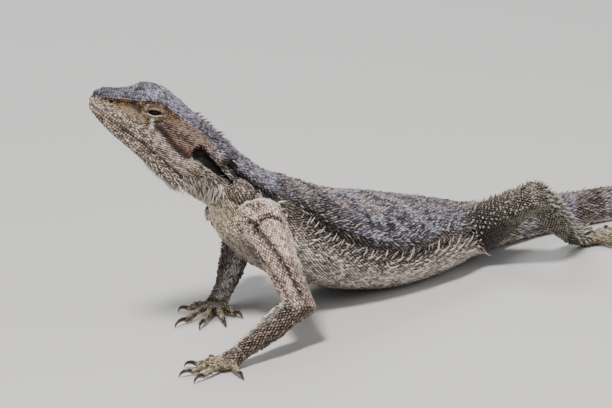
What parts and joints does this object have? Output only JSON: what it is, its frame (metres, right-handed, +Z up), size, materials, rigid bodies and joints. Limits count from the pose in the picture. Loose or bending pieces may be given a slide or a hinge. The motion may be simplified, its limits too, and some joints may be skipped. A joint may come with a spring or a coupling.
{
  "type": "bearded dragon",
  "caption": "Life-size still model of a bearded dragon lizard, alert on the floor: chest raised on its forelegs, head up and turned, belly low, tail laid out behind.",
  "frame": {"origin": "under the middle of the belly, on the floor that the animal rests on", "axes": "+Z up, +X towards the tail, +Y to the animal's right"},
  "size_m": [0.4558, 0.1712, 0.1181],
  "materials": {
    "skin_back": "matt, rough grey scales",
    "skin_head": "matt, fine brown and beige scales",
    "skin_limb": "matt, beige scales with brown bands",
    "skin_tail": "matt, keeled scales",
    "eye_dark": "wet gloss"
  },
  "bodies": {
    "root": {"head": "skin_head", "jaw": "skin_head", "eye_left": "eye_dark", "eye_right": "eye_dark", "neck": "skin_back", "torso_front": "skin_back", "torso_rear": "skin_back", "tail_1": "skin_tail", "tail_2": "skin_tail", "tail_3": "skin_tail", "tail_4": "skin_tail", "upper_arm_left": "skin_limb", "upper_arm_right": "skin_limb", "forearm_left": "skin_limb", "forearm_right": "skin_limb", "hand_left": "skin_limb", "hand_right": "skin_limb", "thigh_left": "skin_limb", "thigh_right": "skin_limb", "shank_left": "skin_limb", "shank_right": "skin_limb", "foot_left": "skin_limb", "foot_right": "skin_limb"}
  },
  "joints": []
}
